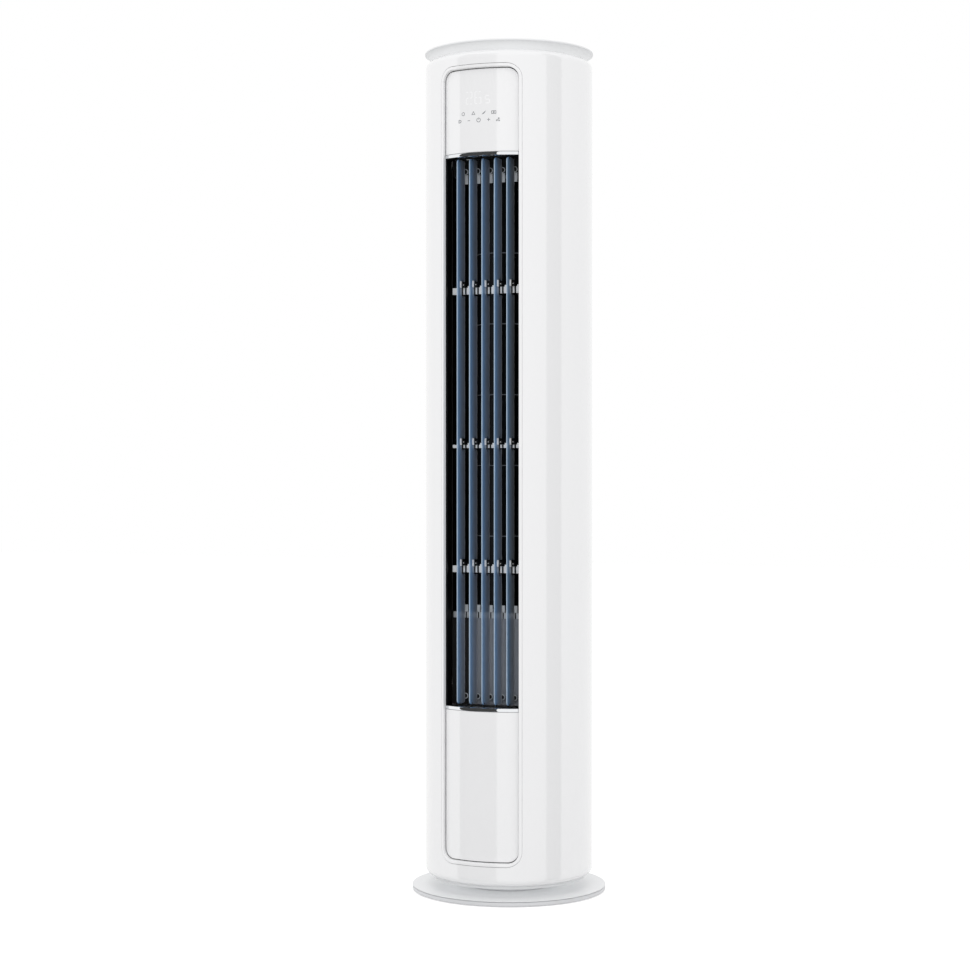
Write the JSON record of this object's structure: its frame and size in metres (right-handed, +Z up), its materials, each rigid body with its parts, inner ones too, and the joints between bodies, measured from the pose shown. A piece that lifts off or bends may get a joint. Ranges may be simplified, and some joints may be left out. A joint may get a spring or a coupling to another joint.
{
  "type": "floor standing air conditioner",
  "caption": "Slim round floor-standing air conditioner on a disc base, with a tall front air outlet, swinging vertical louvres, a touch panel, a cross-flow fan and a tilting rear intake grille.",
  "frame": {"origin": "centre of the underside, on the floor plane", "axes": "+Z up along the column, -Y out of the air outlet, +X to the right of someone facing the outlet from behind the unit's front"},
  "size_m": [0.408, 0.408, 1.76],
  "materials": {
    "gloss_white": "high-gloss moulded white ABS",
    "satin_white": "satin moulded white",
    "chrome_trim": "polished chrome plate",
    "smoky_blue_plastic": "glossy smoky blue-grey, slightly see-through",
    "black_plastic": "matt black moulded",
    "fan_plastic": "dark glass-filled moulding",
    "grey_plastic": "mid grey moulded",
    "light_grey_plastic": "light grey moulded",
    "galvanised_steel": "zinc-coated sheet",
    "steel": "turned and pressed steel",
    "aluminium_fins": "stamped thin fins",
    "copper": "drawn copper tube",
    "brass": "machined brass",
    "rubber": "moulded rubber",
    "circuit_board": "green solder mask"
  },
  "bodies": {
    "casing": {"base_plate": "satin_white", "foot_ring": "rubber", "pedestal_collar": "satin_white", "collar_screw_1": "steel", "collar_screw_2": "steel", "collar_screw_3": "steel", "bottom_chassis": "galvanised_steel", "front_shell": "gloss_white", "rear_upper_cover": "gloss_white", "rear_lower_cover": "gloss_white", "top_cap": "satin_white", "top_frame": "galvanised_steel", "window_frame": "gloss_white", "control_panel": "gloss_white", "display_board": "circuit_board", "lower_panel": "gloss_white", "outlet_trim_top": "chrome_trim", "outlet_trim_bottom": "chrome_trim", "duct_right_side": "black_plastic", "duct_left_side": "black_plastic", "duct_ceiling": "black_plastic", "duct_floor": "black_plastic", "pivot_strip_top": "black_plastic", "pivot_strip_bottom": "black_plastic", "swing_motor": "steel", "fan_motor": "steel", "top_bearing": "rubber", "mid_deck": "galvanised_steel", "upper_deck": "galvanised_steel", "motor_cover": "grey_plastic", "bearing_bracket": "light_grey_plastic", "volute_wall": "black_plastic", "tongue_wall": "black_plastic", "right_upright": "galvanised_steel", "left_upright": "galvanised_steel", "evaporator_fins": "aluminium_fins", "evaporator_end_plate": "copper", "drain_pan": "satin_white", "gas_pipe": "copper", "gas_nut": "brass", "liquid_pipe": "copper", "liquid_nut": "brass", "cord_gland": "rubber", "control_box": "galvanised_steel", "control_box_cover": "galvanised_steel", "main_board": "circuit_board", "terminal_block": "black_plastic"},
    "fan": {"fan_wheel": "fan_plastic", "fan_shaft": "steel"},
    "blade_1": {"louver_1": "smoky_blue_plastic"},
    "blade_2": {"louver_2": "smoky_blue_plastic"},
    "blade_3": {"louver_3": "smoky_blue_plastic", "swing_coupler": "light_grey_plastic"},
    "blade_4": {"louver_4": "smoky_blue_plastic"},
    "blade_5": {"louver_5": "smoky_blue_plastic"},
    "linkage": {"link_bar_1": "light_grey_plastic", "link_bar_2": "light_grey_plastic", "link_bar_3": "light_grey_plastic"},
    "intake_door": {"rear_grille": "gloss_white", "air_filter": "light_grey_plastic"}
  },
  "joints": [
    {"name": "fan_spin", "type": "hinge", "parent": "casing", "child": "fan", "pos_m": [0, -0.024, 1], "axis": [0, 0, 1], "continuous": true},
    {"name": "louver_1_swing", "type": "hinge", "parent": "casing", "child": "blade_1", "pos_m": [-0.055, -0.138, 0.96], "axis": [0, 0, 1], "range_deg": [-40, 40]},
    {"name": "louver_2_swing", "type": "hinge", "parent": "casing", "child": "blade_2", "pos_m": [-0.0275, -0.138, 0.96], "axis": [0, 0, 1], "range_deg": [-40, 40]},
    {"name": "louver_3_swing", "type": "hinge", "parent": "casing", "child": "blade_3", "pos_m": [0, -0.138, 0.96], "axis": [0, 0, 1], "range_deg": [-40, 40]},
    {"name": "louver_4_swing", "type": "hinge", "parent": "casing", "child": "blade_4", "pos_m": [0.0275, -0.138, 0.96], "axis": [0, 0, 1], "range_deg": [-40, 40]},
    {"name": "louver_5_swing", "type": "hinge", "parent": "casing", "child": "blade_5", "pos_m": [0.055, -0.138, 0.96], "axis": [0, 0, 1], "range_deg": [-40, 40]},
    {"name": "linkage_pivot", "type": "hinge", "parent": "blade_3", "child": "linkage", "pos_m": [0, -0.122, 0.96], "axis": [0, 0, 1], "range_deg": [-40, 40]},
    {"name": "intake_door_tilt", "type": "hinge", "parent": "casing", "child": "intake_door", "pos_m": [0, 0.176, 0.421], "axis": [-1, 0, 0], "range_deg": [0, 15]}
  ],
  "couplings": [
    {"joint": "louver_1_swing", "follows": "louver_3_swing", "ratio": 1},
    {"joint": "louver_2_swing", "follows": "louver_3_swing", "ratio": 1},
    {"joint": "louver_4_swing", "follows": "louver_3_swing", "ratio": 1},
    {"joint": "louver_5_swing", "follows": "louver_3_swing", "ratio": 1},
    {"joint": "linkage_pivot", "follows": "louver_3_swing", "ratio": -1}
  ]
}
